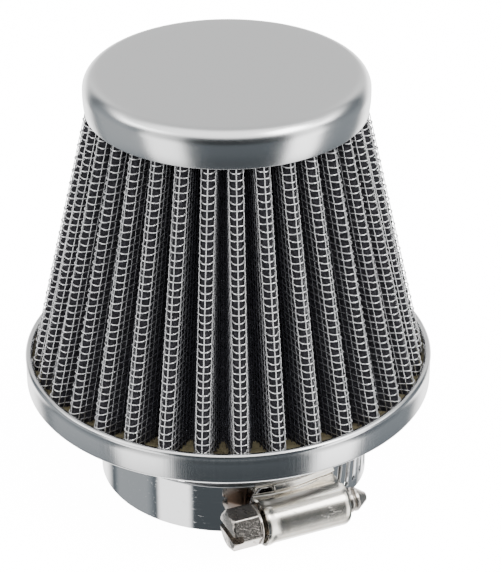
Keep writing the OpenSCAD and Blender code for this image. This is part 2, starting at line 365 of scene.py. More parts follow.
grime, inside, outside = effect_group("grime", (("Scale", 120.0), ("Share", 0.5)))
place = grime.nodes.new("ShaderNodeTexCoord")
cloud = noise_texture(grime, place.outputs["Object"], inside.outputs["Scale"], 6.0, roughness=0.65)
above = math_node(grime, "SUBTRACT", cloud, inside.outputs["Share"])
grime.links.new(math_node(grime, "MULTIPLY", above, 5.0, clamp=True), outside.inputs["Mask"])
print("effect groups:", [g.name for g in bpy.data.node_groups])

# %% [markdown]
# ### One kind of finish
# Every material here is one Principled shader with a few effects on its colour, its roughness and its
# surface. A small class keeps the tree and the shader together, so that each finish below reads as a
# recipe: which effect, at what scale, between which two values.


# %% Material helpers
class Finish:
    """A material with one Principled shader and short ways to add effects to it."""

    def __init__(self, name, colour, metallic, roughness, **sockets):
        self.material = bpy.data.materials.new(name)
        self.material.use_nodes = True
        self.tree = self.material.node_tree
        self.shader = self.tree.nodes["Principled BSDF"]
        self.shader.inputs["Base Color"].default_value = (*colour, 1)
        self.shader.inputs["Metallic"].default_value = metallic
        self.shader.inputs["Roughness"].default_value = roughness
        for socket, value in sockets.items():
            self.shader.inputs[socket.replace("_", " ")].default_value = value
        self.heights = []

    def effect(self, group, **values):
        """Adds an effect group with its settings. Returns its mask."""
        made = self.tree.nodes.new("ShaderNodeGroup")
        made.node_tree = group
        made.label = group.name
        for name, value in values.items():
            made.inputs[name].default_value = value
        return made.outputs["Mask"]

    def colours(self, mask, low, high):
        """Mixes two colours by a mask. The low one may be a socket."""
        mix = self.tree.nodes.new("ShaderNodeMix")
        mix.data_type = "RGBA"
        self.tree.links.new(mask, mix.inputs["Factor"])
        if isinstance(low, tuple):
            mix.inputs["A"].default_value = (*low, 1)
        else:
            self.tree.links.new(low, mix.inputs["A"])
        mix.inputs["B"].default_value = (*high, 1)
        return mix.outputs["Result"]

    def between(self, mask, low, high):
        """A number that runs from low to high with a mask."""
        made = self.tree.nodes.new("ShaderNodeMapRange")
        self.tree.links.new(mask, made.inputs["Value"])
        made.inputs["To Min"].default_value = low
        made.inputs["To Max"].default_value = high
        return made.outputs["Result"]

    def into(self, socket, value):
        self.tree.links.new(value, self.shader.inputs[socket])

    def bump(self, height, depth):
        """Adds relief, with its depth in millimetres, on top of any earlier relief."""
        made = self.tree.nodes.new("ShaderNodeBump")
        made.inputs["Distance"].default_value = depth * MM
        made.inputs["Strength"].default_value = 1.0
        self.tree.links.new(height, made.inputs["Height"])
        if self.heights:
            self.tree.links.new(self.heights[-1], made.inputs["Normal"])
        self.heights.append(made.outputs["Normal"])
        self.into("Normal", made.outputs["Normal"])


print("finish helper ready")

# %% [markdown]
# ### Polished shells
# The cap and the pan are pressed from thin stainless sheet and polished, so they are near-mirrors. What
# stops them from looking like perfect glass is a very fine streak in the polish, which spreads each
# reflection a little, and a few pale specks. The streak goes into roughness and a shallow bump, the
# specks into the colour.

# %% Polished shell materials
polished_cap = Finish("polished cap", (0.80, 0.81, 0.82), 1.0, 0.13)
polish = polished_cap.effect(streaks, Around=260.0, Up=900.0)
dots = polished_cap.effect(specks, Density=420.0, Size=0.06)
polished_cap.into("Roughness", polished_cap.between(polish, 0.15, 0.28))
polished_cap.into("Base Color", polished_cap.colours(dots, (0.80, 0.81, 0.82), (0.93, 0.93, 0.93)))
polished_cap.bump(polish, 0.002)

polished_pan = Finish("polished pan", (0.80, 0.81, 0.82), 1.0, 0.13)
polish = polished_pan.effect(streaks, Around=260.0, Up=60.0)
dots = polished_pan.effect(specks, Density=600.0, Size=0.05)
polished_pan.into("Roughness", polished_pan.between(polish, 0.10, 0.26))
polished_pan.into("Base Color", polished_pan.colours(dots, (0.79, 0.80, 0.81), (0.93, 0.93, 0.93)))
polished_pan.bump(polish, 0.004)
print("polished shells: streaks, specks")

# %% [markdown]
# ### Clamp steels
# The strap is bright-rolled strip, the neck is a duller drawn tube, the housing is a warmer pressed steel
# with soft dents, and the screw is dull and a little dirty, with a painted dark brown reflection of the
# strap on the side next to it. They share the same effects at other strengths.

# %% Strap and neck materials
strap_steel = Finish("strap steel", (0.80, 0.81, 0.83), 1.0, 0.08)
lines_mask = strap_steel.effect(scuffs, Density=2600.0, Share=0.64)
rolled = strap_steel.effect(streaks, Around=30.0, Up=2500.0)
strap_steel.into("Roughness", strap_steel.between(lines_mask, 0.07, 0.30))
strap_steel.into("Base Color", strap_steel.colours(lines_mask, (0.78, 0.79, 0.80), (0.90, 0.90, 0.90)))
strap_steel.bump(rolled, 0.0015)

neck_steel = Finish("neck steel", (0.72, 0.73, 0.74), 1.0, 0.2)
rolled = neck_steel.effect(streaks, Around=200.0, Up=500.0)
dirt = neck_steel.effect(grime, Scale=160.0, Share=0.52)
neck_steel.into("Roughness", neck_steel.between(rolled, 0.25, 0.45))
neck_steel.into("Base Color", neck_steel.colours(dirt, (0.46, 0.46, 0.47), (0.30, 0.28, 0.25)))
neck_steel.bump(rolled, 0.008)

print("strap and neck steels: scuffs, streaks, grime")

# %% Housing and screw materials
housing_steel = Finish("housing steel", (0.78, 0.75, 0.70), 1.0, 0.24)
dents = housing_steel.effect(grime, Scale=260.0, Share=0.45)
lines_mask = housing_steel.effect(scuffs, Density=1600.0, Share=0.66)
housing_steel.into("Roughness", housing_steel.between(lines_mask, 0.18, 0.34))
bright_steel, dull_steel = (0.80, 0.765, 0.70), (0.70, 0.66, 0.59)
housing_steel.into("Base Color", housing_steel.colours(dents, bright_steel, dull_steel))
housing_steel.bump(dents, 0.006)
housing_steel.bump(lines_mask, 0.004)

screw_steel = Finish("screw steel", (0.62, 0.61, 0.58), 1.0, 0.32)
dirt = screw_steel.effect(grime, Scale=520.0, Share=0.55)
marks = screw_steel.effect(scuffs, Density=3000.0, Share=0.56)
screw_steel.into("Roughness", screw_steel.between(dirt, 0.22, 0.55))
from_axis = screw_steel.tree.nodes.new("ShaderNodeTexCoord").outputs["Object"]
level_out = new_node(screw_steel.tree, "ShaderNodeVectorMath", "drop the height", operation="MULTIPLY")
level_out.inputs[1].default_value = (1, 1, 0)
screw_steel.tree.links.new(from_axis, level_out.inputs[0])
out_by = new_node(screw_steel.tree, "ShaderNodeVectorMath", "distance from the neck", operation="LENGTH")
screw_steel.tree.links.new(level_out.outputs[0], out_by.inputs[0])
# Painted reflection: the screw's side next to the strap is painted dark brown in place of the strap's
# reflection. It is painted on, so it turns with the screw.
reflection_full_to, reflection_gone_from = 24.8 * MM, 26.8 * MM
strap_reflection = smooth_step(screw_steel.tree, out_by.outputs["Value"], reflection_full_to, reflection_gone_from, 1.0, 0.0)
tone = screw_steel.colours(dirt, (0.54, 0.50, 0.46), (0.16, 0.14, 0.115))
screw_steel.into("Base Color", screw_steel.colours(strap_reflection, tone, (0.10, 0.065, 0.045)))
screw_steel.bump(marks, 0.01)
print("housing and screw steels: scuffs, grime, dents")

# %% [markdown]
# ### Element and glue
# The filter cloth is black and matt with loose fibres, so it needs almost no highlight and a strong
# fine bump. The wire is drawn steel with some dirt, with painted shade down the flanks and in the valleys
# and full brightness on the ridges: the wires' meshes carry how deep in a fold they lie, and the finish
# reads it. The potting is a khaki glue that was poured and cured, with bubbles and brown stains.

# %% Element and glue materials
cloth = Finish("black filter cloth", (0.012, 0.012, 0.014), 0.0, 0.9, Specular_IOR_Level=0.25)
fibres = cloth.effect(grime, Scale=2600.0, Share=0.42)
cloth.into("Base Color", cloth.colours(fibres, (0.009, 0.009, 0.011), (0.030, 0.029, 0.035)))
cloth.bump(fibres, 0.08)

wire_steel = Finish("drawn wire", (0.80, 0.81, 0.82), 0.86, 0.28)
dirt = wire_steel.effect(grime, Scale=300.0, Share=0.50)
fold_shade = wire_steel.tree.nodes.new("ShaderNodeAttribute")
fold_shade.attribute_name = "fold_shade"
wire_tone = wire_steel.colours(dirt, (0.96, 0.96, 0.97), (0.68, 0.68, 0.70))
# Painted shade: the wires darken toward this colour down the flanks and in the valleys, where shade falls;
# the ridges keep their full brightness.
fold_shade_colour = (0.12, 0.12, 0.14)
wire_steel.into("Base Color", wire_steel.colours(fold_shade.outputs["Fac"], wire_tone, fold_shade_colour))
wire_steel.into("Roughness", wire_steel.between(dirt, 0.22, 0.45))

glue = Finish("khaki potting", (0.34, 0.28, 0.14), 0.0, 0.5)
stain = glue.effect(grime, Scale=210.0, Share=0.48)
bubbles = glue.effect(specks, Density=900.0, Size=0.16)
tone = glue.colours(stain, (0.12, 0.105, 0.062), (0.045, 0.033, 0.018))
glue.into("Base Color", glue.colours(bubbles, tone, (0.03, 0.022, 0.012)))
glue.into("Roughness", glue.between(stain, 0.4, 0.75))
glue.bump(stain, 0.15)
print("element and glue: fibres, dirt, stains")

# %% [markdown]
# ## Shapes
# Nearly every part here is either turned round the neck's axis or is a thin sheet. Two builders make
# them: one turns a closed section with rounded corners, the other makes a sheet from a grid of points
# on its two faces and can leave cells out, which gives slots and slits with proper walls.


# %% Pieces from points
def new_piece(name, points, faces, finish, crease=40.0):
    """An object from points in millimetres and faces, shaded smooth up to the crease angle."""
    mesh = bpy.data.meshes.new(name)
    mesh.from_pydata((np.asarray(points, float) * MM).tolist(), [], [list(map(int, f)) for f in faces])
    shape = bmesh.new()
    shape.from_mesh(mesh)
    bmesh.ops.remove_doubles(shape, verts=shape.verts, dist=1e-7)
    bmesh.ops.recalc_face_normals(shape, faces=shape.faces)
    shape.to_mesh(mesh)
    shape.free()
    return finish_piece(name, mesh, finish, crease)


def finish_piece(name, mesh, finish, crease):
    mesh.shade_smooth()
    mesh.set_sharp_from_angle(angle=math.radians(crease))
    mesh.materials.append(finish.material)
    made = bpy.data.objects.new(name, mesh)
    bpy.context.scene.collection.objects.link(made)
    return made


print("new_piece and finish_piece ready")


# %% Turned shapes
def rounded(corners, steps=7):
    """A closed section from (across, up, corner radius) rows, with each corner turned into an arc."""
    out = []
    for k, (across, up, radius) in enumerate(corners):
        here = Vector((across, up))
        if radius <= 0:
            out.append(here)
            continue
        before = (Vector(corners[k - 1][:2]) - here).normalized()
        after = (Vector(corners[(k + 1) % len(corners)][:2]) - here).normalized()
        half_angle = before.angle(after) / 2
        middle = here + (before + after).normalized() * radius / math.sin(half_angle)
        first = here + before * radius / math.tan(half_angle) - middle
        sweep = first.angle_signed(here + after * radius / math.tan(half_angle) - middle)
        for step in range(steps + 1):
            c, s = math.cos(-sweep * step / steps), math.sin(-sweep * step / steps)
            out.append(middle + Vector((first.x * c - first.y * s, first.x * s + first.y * c)))
    return np.array([tuple(p) for p in out])


def around(radius, azimuth, height):
    """Points at an azimuth in degrees from the front, growing toward +X."""
    angle = np.radians(azimuth)
    return np.stack(np.broadcast_arrays(radius * np.sin(angle), -radius * np.cos(angle), height), -1)


def turned(name, section, finish, steps=288, first=None, last=None):
    """A closed section turned round the neck's axis, all the way or between two azimuths."""
    whole = first is None
    angles = np.arange(steps) * 360.0 / steps if whole else np.linspace(first, last, steps)
    rings = around(section[None, :, 0], angles[:, None], section[None, :, 1])
    count, size = len(angles), len(section)
    faces = []
    for a in range(count if whole else count - 1):
        b = (a + 1) % count
        for p in range(size):
            q = (p + 1) % size
            faces.append((a * size + p, b * size + p, b * size + q, a * size + q))
    if not whole:
        faces += [tuple(range(size)), tuple((count - 1) * size + p for p in range(size))]
    return new_piece(name, rings.reshape(-1, 3), faces, finish)


print("rounded, around and turned ready")


# %% Sheets with holes
def sheet_grid(name, outer, inner, finish, keep=None, wrap=False, crease=40.0):
    """A sheet between two grids of points. keep says which cells are there; wrap closes the ring."""
    columns, rows = outer.shape[:2]
    across = columns if wrap else columns - 1
    keep = np.ones((across, rows - 1), bool) if keep is None else keep
    size = columns * rows

    def corner(c, r, side):
        return side * size + (c % columns) * rows + r

    def there(c, r):
        if wrap:
            c = c % columns
        return 0 <= c < across and 0 <= r < rows - 1 and keep[c, r]

    faces = []
    for c in range(across):
        for r in range(rows - 1):
            if not keep[c, r]:
                continue
            loop = ((c, r), (c + 1, r), (c + 1, r + 1), (c, r + 1))
            faces.append([corner(*p, 0) for p in loop])
            faces.append([corner(*p, 1) for p in reversed(loop)])
            for (p, q), beside in zip(zip(loop, loop[1:] + loop[:1]),
                                      ((c, r - 1), (c + 1, r), (c, r + 1), (c - 1, r))):
                if not there(*beside):
                    faces.append([corner(*q, 0), corner(*p, 0), corner(*p, 1), corner(*q, 1)])
    used = sorted({i for f in faces for i in f})
    number = {i: k for k, i in enumerate(used)}
    points = np.concatenate([outer.reshape(-1, 3), inner.reshape(-1, 3)])[used]
    return new_piece(name, points, [[number[i] for i in f] for f in faces], finish, crease)


print("sheet_grid ready")


# %% Eased edges and places
def eased(obj, width, segments=2):
    """Rounds a piece's sharp edges by a small width in millimetres and keeps the result as its mesh."""
    made = obj.modifiers.new("eased edges", "BEVEL")
    made.width = width * MM
    made.segments = segments
    made.limit_method = "ANGLE"
    made.angle_limit = math.radians(38.0)
    made.harden_normals = True
    made.use_clamp_overlap = True
    return applied(obj)


def applied(obj):
    """Keeps the result of a piece's modifiers as its mesh."""
    shape = bpy.data.meshes.new_from_object(obj.evaluated_get(bpy.context.evaluated_depsgraph_get()))
    obj.modifiers.clear()
    obj.data = shape
    return obj


def placed(obj, body, slot_name, *nodes):
    """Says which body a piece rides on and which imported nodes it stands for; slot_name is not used."""
    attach(obj, body)
    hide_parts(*nodes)
    print(f"{obj.name}: {len(obj.data.polygons)} faces on {body}")
    return obj


print("eased, applied and placed ready")

# %% [markdown]
# ## Cap
# A shallow pressed cup, rolled over a large soft edge. It is turned from its section: the flat top, the
# rounded edge, a skirt that draws in a little at its foot and a thin raw lip, with the sheet's real
# thickness inside. The glue that holds the pleats fills its top.

# %% Cap shell and its glue
cap_low, cap_high = (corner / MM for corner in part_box("cap"))
cap_r, cap_top, skirt = cap_high.x, cap_high.z, cap_low.z
sheet = 0.45
edge = 2.7
cap_section = rounded([
    (0, cap_top, 0), (18.5, cap_top, 1.0), (cap_r, cap_top - 0.08, edge), (cap_r, skirt + 2.6, 0),
    (cap_r - 0.05, skirt + 1.6, 0), (cap_r - 0.14, skirt + 0.8, 0), (cap_r - 0.26, skirt, 0.14),
    (cap_r - sheet - 0.2, skirt, 0.14), (cap_r - sheet, cap_top - sheet, edge - sheet),
    (0, cap_top - sheet, 0)], steps=12)
placed(turned("cap_shell", cap_section, polished_cap), "filter", "polished_cap", "cap")

glue_low, glue_high = (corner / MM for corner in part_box("cap_potting"))
inner_r = cap_r - sheet - 0.02
cap_glue_section = rounded([
    (0, glue_low.z, 0), (inner_r - 0.1, glue_low.z, 0.2), (inner_r, glue_high.z - 0.02, edge - sheet),
    (0, glue_high.z - 0.02, 0)], steps=6)
placed(turned("cap_glue", cap_glue_section, glue, steps=96), "filter", "potting", "cap_potting")

# %% [markdown]
# ## Base pan
# The pan is a dish with a small lower corner. Its lip is rolled into a bead, which catches the light as a
# thin bright line all the way round, so the bead is part of the turned section.

# %% Pan shell
pan_low, pan_high = (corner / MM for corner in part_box("base_pan"))
bead = 0.62
pan_wall = 0.7
pan_out = 34.9
neck_out = 21.8
bead_across, bead_up = pan_out + 0.05 - bead, pan_high.z - bead
bead_arc = [(bead_across + bead * math.cos(a), bead_up + bead * math.sin(a))
            for a in np.radians(np.linspace(-22, 205, 18))]
hole_r = neck_out + 0.05
lower = rounded([(hole_r, pan_low.z, 0.1), (pan_out, pan_low.z, 0.55), (pan_out, bead_up - 1.2, 0)])
floor_line = rounded([
    (pan_out - pan_wall, bead_up - 1.5, 0), (pan_out - pan_wall, pan_low.z + pan_wall, 0.3),
    (hole_r, pan_low.z + pan_wall, 0.1)])
pan_section = np.concatenate([lower, bead_arc, floor_line])
placed(turned("pan_shell", pan_section, polished_pan, steps=320), "filter", "polished_pan", "base_pan")

# %% [markdown]
# ## Pleats
# The element is one strip folded 33 times into a cone. Each fold is a small arc, joined by a straight
# flank to the arc of the next valley, and both arcs move inward toward the cap. The function below
# gives any point of it from how far along the fold it is, how far proud of the strip's middle it stands,
# and how high up it is. The cloth, the outer wires and the inner wires all use it, so they stay together.

# %% Pleat shape
element_low, element_high = (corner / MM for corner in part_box("outer_mesh"))
foot_z, head_z = element_low.z, element_high.z
pleats = 33
pleat_phase = 4.1
bend = 0.7
half_step = math.pi / pleats
ridge_foot, ridge_draw, crest_height = 33.8, 11.6, 1.2
valley_foot, valley_draw = 27.0, 11.2


def fold_measures(up):
    """Ridge centre, valley centre, lean of the flank and length of the flank at height share up."""
    ridge = ridge_foot - ridge_draw * up - crest_height
    valley = valley_foot - valley_draw * up
    across, aside = valley * math.cos(half_step) - ridge, valley * math.sin(half_step)
    gap = np.hypot(across, aside)
    lean = np.arctan2(aside, across) - np.arccos(2 * bend / gap)
    return ridge, valley, lean, np.sqrt(gap ** 2 - 4 * bend ** 2)


def pleat_half_length(up):
    ridge, valley, lean, flank = fold_measures(up)
    return bend * lean + flank + bend * (lean - half_step)


def pleat_points(along, proud, up, number):
    """Points on the pleated strip, in millimetres: along the fold from ridge number's crest."""
    along, proud, up, number = np.broadcast_arrays(along, proud, up, number)
    ridge, valley, lean, flank = fold_measures(up)
    far = np.abs(along)
    valley_x, valley_y = valley * math.cos(half_step), valley * math.sin(half_step)
    arc = np.clip(far / bend, 0, lean)
    x_ridge, y_ridge = ridge + (bend + proud) * np.cos(arc), (bend + proud) * np.sin(arc)
    share = np.clip((far - bend * lean) / flank, 0, 1)
    x_from, y_from = ridge + bend * np.cos(lean), bend * np.sin(lean)
    x_to, y_to = valley_x - bend * np.cos(lean), valley_y - bend * np.sin(lean)
    x_flank = x_from + (x_to - x_from) * share + proud * np.cos(lean)
    y_flank = y_from + (y_to - y_from) * share + proud * np.sin(lean)
    back = lean - np.maximum(far - bend * lean - flank, 0) / bend
    x_valley = valley_x - (bend - proud) * np.cos(back)
    y_valley = valley_y - (bend - proud) * np.sin(back)
    on_ridge, on_flank = far <= bend * lean, far <= bend * lean + flank
    x = np.where(on_ridge, x_ridge, np.where(on_flank, x_flank, x_valley))
    y = np.where(on_ridge, y_ridge, np.where(on_flank, y_flank, y_valley)) * np.sign(along)
    angle = math.radians(pleat_phase - 90) + 2 * half_step * number
    z = foot_z + (head_z - foot_z) * up
    return np.stack([x * np.cos(angle) - y * np.sin(angle), x * np.sin(angle) + y * np.cos(angle), z], -1)


print("half a fold is", np.round(pleat_half_length(np.array([0.0, 1.0])), 2), "mm long at foot and head")

# %% [markdown]
# ### Cloth
# The black cloth is the pleated strip itself, 0.4 mm thick. It is a closed sheet that follows the pleat
# function in thirty steps a fold.

# %% Cloth
cloth_steps = 30
levels = np.linspace(-0.02, 1.0, 15)
shares = np.linspace(-1, 1, cloth_steps, endpoint=False)
fold_number = np.repeat(np.arange(pleats), cloth_steps)[:, None]
fold_along = np.tile(shares, pleats)[:, None] * pleat_half_length(levels)[None, :]
cloth_out = pleat_points(fold_along, 0.12, levels[None, :], fold_number)
cloth_in = pleat_points(fold_along, -0.28, levels[None, :], fold_number)
pleated_cloth = sheet_grid("pleated_cloth", cloth_out, cloth_in, cloth, wrap=True, crease=60.0)
placed(pleated_cloth, "filter", "media", "filter_media")

# %% [markdown]
# ## Woven wire
# The bright mesh is what makes this part recognisable, so it is real geometry: upright wires and round
# wires, each bent over and under the others. Only then do they sparkle on the ridges; in the valleys they
# fade, helped by painted shade on the wires there. Tubes are built in one go from arrays, because a curve
# object for each of five hundred wires would be slow.


# %% Tube builder
def wire_tubes(name, middles, outward, radius, finish, depth, closed=False, sides=4):
    """Tubes round many lines at once. middles is (line, point, xyz); outward points off the cloth;
    depth is 0 on a ridge and 1 in a valley, and paints shade on the wire there."""
    ahead = np.roll(middles, -1, 1) - np.roll(middles, 1, 1)
    if not closed:
        ahead[:, 0] = middles[:, 1] - middles[:, 0]
        ahead[:, -1] = middles[:, -1] - middles[:, -2]
    ahead /= np.linalg.norm(ahead, axis=-1, keepdims=True)
    lift = outward - (outward * ahead).sum(-1, keepdims=True) * ahead
    lift /= np.linalg.norm(lift, axis=-1, keepdims=True)
    side = np.cross(ahead, lift)
    turn_by = 2 * math.pi * (np.arange(sides) + 0.5) / sides
    rim = (middles[:, :, None] + radius * (lift[:, :, None] * np.cos(turn_by)[:, None]
                                           + side[:, :, None] * np.sin(turn_by)[:, None]))
    lines, count = middles.shape[:2]
    start = np.arange(lines)[:, None, None] * count
    point = np.arange(count if closed else count - 1)[None, :, None]
    corner = np.arange(sides)[None, None, :]
    following = (point + 1) % count
    beside = (corner + 1) % sides
    faces = np.stack([(start + point) * sides + corner, (start + point) * sides + beside,
                      (start + following) * sides + beside, (start + following) * sides + corner], -1)
    mesh = bpy.data.meshes.new(name)
    mesh.from_pydata(rim.reshape(-1, 3) * MM, [], faces.reshape(-1, 4))
    deep = np.repeat(np.broadcast_to(depth, (lines, count)).ravel(), sides).astype(np.float32)
    mesh.attributes.new("fold_shade", "FLOAT", "POINT").data.foreach_set("value", deep)
    return finish_piece(name, mesh, finish, 180.0)


print("wire_tubes ready")


# %% Where the outer wires run
def wire_place(column, row_share, wave):
    """Middle of a wire and the way off the cloth, at a column (fractions allowed) of a fold."""
    number, column = np.divmod(column + half_fold, per_fold)
    column = column - half_fold
    reach = pleat_half_length(row_share)
    crest = np.clip(np.abs(column), 0, 2) * crest_pitch
    flank_wires = half_fold - 2
    down = np.clip(np.abs(column) - 2, 0, flank_wires) / flank_wires * (reach - 2 * crest_pitch)
    along = np.sign(column) * (crest + down)
    middle = pleat_points(along, wire_proud + wave, row_share, number)
    return middle, middle - pleat_points(along, wire_proud + wave - 0.2, row_share, number)


def in_fold(column):
    """How much painted shade a wire gets: 0 on a ridge's three bright wires, rising quickly to 1 down the
    flank.
    """
    return np.sqrt(np.clip((np.abs(column) - 1.0) / 3.2, 0, 1))


wire_radius = 0.108
crimp = 0.15
wire_proud = 0.42
crest_pitch = 1.0
per_fold, half_fold = 14, 7
rows, row_start, row_span = 44, 0.65, 42.9
row_shares = (np.arange(rows) - row_start) / row_span
print("wire rows:", rows, "wires upright:", per_fold * pleats)

# %% Outer mesh: upright wires
columns = np.arange(per_fold * pleats)
upright_at = np.arange(0, 2 * rows) / 2.0 - 0.25
upright_share = (upright_at - row_start) / row_span
upright_crimp = 0.05
upright_wave = -upright_crimp * np.cos(np.pi * (columns[:, None] + upright_at[None, :]))
middle, outward = wire_place(columns[:, None], upright_share[None, :], upright_wave)
fold_column = np.abs((columns + half_fold) % per_fold - half_fold)
mesh_upright = wire_tubes("mesh_upright", middle, outward, wire_radius, wire_steel,
                          in_fold(fold_column)[:, None])
placed(mesh_upright, "filter", "wire", "outer_mesh")

# %% Outer mesh: round wires
fold_columns = np.concatenate([
    np.arange(-7, -4, 1.0), np.arange(-4, -1, 0.5), np.arange(-1, 1, 0.25), np.arange(1, 4, 0.5),
    np.arange(4, 7, 1.0)])
round_at = (fold_columns[None, :] + per_fold * np.arange(pleats)[:, None]).ravel()
off_crest = np.clip(np.abs(np.tile(fold_columns, pleats)) - 1.0, 0, 1)
round_wave = ((crimp - 0.08 * off_crest)[None, :]
              * np.cos(np.pi * (round_at[None, :] + np.arange(rows)[:, None])))
middle, outward = wire_place(round_at[None, :], row_shares[:, None], round_wave)
mesh_round = wire_tubes("mesh_round", middle, outward, wire_radius, wire_steel,
                        in_fold(np.tile(fold_columns, pleats))[None, :], closed=True)
placed(mesh_round, "filter", "wire", "outer_mesh")

# %% [markdown]
# ### Inner mesh
# The same weave lines the inside of the pleats. Almost nothing of it is seen, so its wires are straight and
# fewer, but they are there when one looks into the neck.

# %% Inner mesh
inner_radius = 0.09
uprights = 8
inner_columns = np.tile(np.linspace(-1, 1, uprights, endpoint=False), pleats)
inner_numbers = np.repeat(np.arange(pleats), uprights)
inner_levels = np.linspace(0, 1, 5)
along = inner_columns[:, None] * pleat_half_length(inner_levels)[None, :]
middle = pleat_points(along, -0.38, inner_levels[None, :], inner_numbers[:, None])
outward = middle - pleat_points(along, -0.1, inner_levels[None, :], inner_numbers[:, None])
inner_upright = wire_tubes("inner_mesh_upright", middle, outward, inner_radius, wire_steel, 0.9)
placed(inner_upright, "filter", "wire", "inner_mesh")
ring_steps = 24
ring_columns = np.tile(np.linspace(-1, 1, ring_steps, endpoint=False), pleats)
ring_numbers = np.repeat(np.arange(pleats), ring_steps)
inner_rows = np.linspace(0.02, 0.98, 22)
along = ring_columns[None, :] * pleat_half_length(inner_rows)[:, None]
middle = pleat_points(along, -0.40, inner_rows[:, None], ring_numbers[None, :])
outward = middle - pleat_points(along, -0.1, inner_rows[:, None], ring_numbers[None, :])
inner_round = wire_tubes("inner_mesh_round", middle, outward, inner_radius, wire_steel, 0.9, closed=True)
placed(inner_round, "filter", "wire", "inner_mesh")

# %% [markdown]
# ## Glue in the pan
# The glue was poured round the feet of the pleats and never levelled quite flat. It climbs a little
# against the pan's wall. A polar grid with layered noise gives the surface; its underside is plain.

# %% Pan glue
pot_low, pot_high = (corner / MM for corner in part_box("base_potting"))
glue_in, glue_out = 24.8, 34.19
glue_radii = np.concatenate([np.linspace(glue_in, 33.0, 26), np.linspace(33.2, glue_out, 8)])
glue_steps = 420
glue_turns = np.arange(glue_steps) * 360.0 / glue_steps
glue_points = around(glue_radii[None, :], glue_turns[:, None], 0.0)
lumps = np.array([[noise.fractal(Vector(p) * 0.45, 1.0, 2.0, 4) for p in turn] for turn in glue_points])
sunk, lump_height, climb_height = 0.6, 0.22, 0.35
climb = np.clip((glue_radii - 33.4) / 0.8, 0, 1) ** 2 * climb_height
glue_points[..., 2] = pot_high.z - sunk + lump_height * lumps + climb[None, :]
glue_under = around(glue_radii[None, :], glue_turns[:, None], pot_low.z + 0.01 + 0 * glue_radii[None, :])
pan_glue = sheet_grid("pan_glue", glue_points, glue_under, glue, wrap=True)
placed(pan_glue, "filter", "potting", "base_potting")

# %% [markdown]
# ## Neck
# The neck is a short tube with four slits, so the clamp can squeeze it, and a flange that the pan grips.
# The tube is a sheet with the slits' cells left out, so each slit has walls, and a small bevel eases its
# edges.

# %% Neck tube and flange
neck_low, neck_high = (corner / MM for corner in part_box("neck_tube"))
print("the packed neck runs from", round(neck_low.z, 2), "to", round(neck_high.z, 2), "mm")
clamp_at = 23.5
neck_in = 21.0
slit_high = 9.4
slit_half = math.degrees(0.8 / neck_out)
slit_middles = [(clamp_at + 45 + 90 * k) % 360 for k in range(4)]
cuts = sorted([m + s for m in slit_middles for s in (-slit_half, slit_half)])
neck_turns = np.array(sorted(set(np.round(np.arange(0, 360, 1.5), 4)) | set(cuts)))
neck_heights = np.array([0.0, 0.4, 4.0, 7.0, slit_high - 0.4, slit_high, 16.0, 19.4])
middles = (neck_turns + np.append(neck_turns[1:], neck_turns[0] + 360)) / 2
in_slit = np.array([any(abs((m - s + 180) % 360 - 180) < slit_half for s in slit_middles) for m in middles])
keep = ~(in_slit[:, None] & (neck_heights[None, :-1] < slit_high - 0.1))
neck = sheet_grid("neck", around(neck_out, neck_turns[:, None], neck_heights[None, :]),
                  around(neck_in, neck_turns[:, None], neck_heights[None, :]), neck_steel, keep, wrap=True)
placed(eased(neck, 0.12), "filter", "neck_steel", "neck_tube")
flange_r, flange_top = 24.79, 20.2
flange_section = rounded([
    (neck_in, 19.4, 0.1), (flange_r, 19.41, 0.1), (flange_r, flange_top, 0.2), (neck_in, flange_top, 0.4)])
placed(turned("neck_flange", flange_section, neck_steel, steps=180), "filter", "neck_steel", "neck_tube")

# %% [markdown]
# ## Strap
# The strap is one strip: fixed to the housing, round the left side and the back, and back through the
# housing as a slotted tail. On the right it stands a little proud of the neck, as such straps do when
# they aren't fully tight. The front parts ride on their own bodies; the back stays where it is built, on no
# body.

# %% Strap path
band_low, band_high = (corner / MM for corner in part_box("clamp_band"))
strap_low, strap_high = band_low.z, band_high.z
strap_mid = (strap_low + strap_high) / 2
strap_t = 0.65
layer_1 = 22.5
path_at = [-200, 6, 46, 54, 60, 66, 75.7, 90, 105, 122.3, 136, 150, 400]
path_r = [0, 0.68, 0.68, 0.82, 1.08, 1.42, 1.74, 1.67, 1.27, 0.50, 0.14, 0.0, 0.0]
fine_at = np.arange(0, 400, 0.25)
fine_r = np.interp(fine_at, path_at, path_r)
soften = np.ones(25) / 25
for _ in range(2):
    fine_r = np.convolve(np.pad(fine_r, 12, mode="edge"), soften, mode="valid")


def tail_radius(azimuth):
    """Outer radius of the travelling side of the strap."""
    return layer_1 + np.interp(azimuth, fine_at, fine_r)


print("the strap stands proud by up to", round(float(fine_r.max()), 2), "mm")


# %% Fixed side and back
def strap_sheet(name, azimuths, heights, radius, keep=None, lean=0.0, tip=0.0):
    """A run of strap; lean tilts the grid's columns, in degrees of azimuth for each millimetre of width,
    and tip rounds off its first end by that many degrees."""
    upright_near_end = np.clip((azimuths[-1] - azimuths) / 4.0, 0, 1)[:, None]
    at = azimuths[:, None] + lean * upright_near_end * (heights[None, :] - strap_mid)
    near_tip = np.clip((azimuths[0] + 9.0 - azimuths) / 9.0, 0, 1)[:, None]
    at = at + tip * near_tip * (np.abs(heights[None, :] - strap_mid) / 4.5) ** 3
    radii = radius(at)
    outer, inner = around(radii, at, heights[None, :]), around(radii - strap_t, at, heights[None, :])
    return sheet_grid(name, outer, inner, strap_steel, keep)


